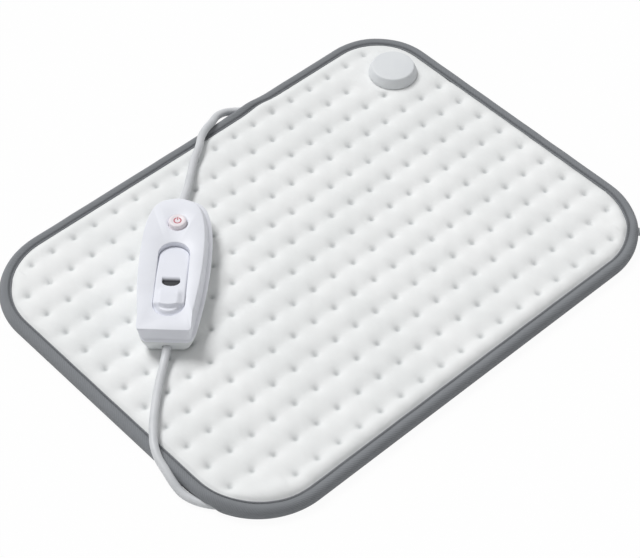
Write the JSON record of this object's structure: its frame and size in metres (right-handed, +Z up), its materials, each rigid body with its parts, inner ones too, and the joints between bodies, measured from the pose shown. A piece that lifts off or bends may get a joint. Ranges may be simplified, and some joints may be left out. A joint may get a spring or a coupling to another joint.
{
  "type": "heating pad with controller",
  "caption": "Quilted heating pad with a taped edge, a round cord coupling through its corner, a hand control with power button and temperature rocker, and a coiled mains cord.",
  "frame": {"origin": "centre of the pad's outline on its underside, where the pad rests", "axes": "+X along the pad's long side, towards the corner with the coupling; +Y along its short side; +Z up, out of the quilted face"},
  "size_m": [0.5758, 0.4123, 0.0391],
  "materials": {
    "cover": "quilted soft cotton-polyester cover",
    "binding": "matte woven edge tape",
    "fleece": "needled fleece",
    "heater": "insulated resistance wire",
    "shell": "fine satin moulding",
    "coupling": "satin moulding",
    "button": "satin moulding",
    "lens": "smoked, clear polish",
    "dome_rubber": "soft matte rubber",
    "steel": "zinc plated",
    "board": "solder mask",
    "component": "moulded epoxy",
    "cord_plastic": "smooth soft sheath",
    "plug_plastic": "fine moulded texture",
    "brass": "nickelled brass"
  },
  "bodies": {
    "pad_and_control": {"top_cover": "cover", "bottom_cover": "cover", "edge_binding": "binding", "heating_carrier": "fleece", "heating_wire": "heater", "thermal_cutout_1": "component", "thermal_cutout_2": "component", "coupling_cap": "coupling", "coupling_base": "coupling", "coupling_screw_1": "steel", "coupling_screw_2": "steel", "coupling_screw_3": "steel", "coupling_terminal": "cord_plastic", "coupling_clamp": "steel", "lead_relief": "cord_plastic", "control_top_shell": "shell", "control_bottom_shell": "shell", "shell_screw_1": "steel", "shell_screw_2": "steel", "shell_screw_3": "steel", "shell_screw_4": "steel", "power_dome": "dome_rubber", "rocker_pin": "steel", "hotter_dome": "dome_rubber", "cooler_dome": "dome_rubber", "circuit_board": "board", "mains_terminal": "cord_plastic", "pad_terminal": "cord_plastic", "relay": "component", "suppression_capacitor": "component", "control_chip": "component", "reservoir_capacitor": "component", "fuse": "brass", "pad_clamp": "cord_plastic", "mains_clamp": "cord_plastic", "clamp_screw_1": "steel", "clamp_screw_2": "steel", "clamp_screw_3": "steel", "clamp_screw_4": "steel", "pad_lead": "cord_plastic", "mains_cord": "cord_plastic", "mains_coil": "cord_plastic", "coil_tie": "dome_rubber", "plug_tail": "cord_plastic", "plug_boot": "plug_plastic", "plug_body": "plug_plastic", "plug_pin_1": "brass", "plug_pin_2": "brass"},
    "power_button": {"power_button": "button"},
    "temperature_rocker": {"temperature_rocker": "button", "level_lens": "lens"}
  },
  "joints": [
    {"name": "power_press", "type": "slide", "parent": "pad_and_control", "child": "power_button", "axis": [0, 0, -1], "range_m": [0, 0.001], "stiffness_N_per_m": 1500, "deforming": ["power_dome"]},
    {"name": "temperature_tilt", "type": "hinge", "parent": "pad_and_control", "child": "temperature_rocker", "pos_m": [-0.10751, 0.0352, 0.0291], "axis": [-0.7096, 0.7046, 0], "range_deg": [-2.5, 2.5], "stiffness_Nm_per_rad": 0.8, "deforming": ["hotter_dome", "cooler_dome"]}
  ]
}
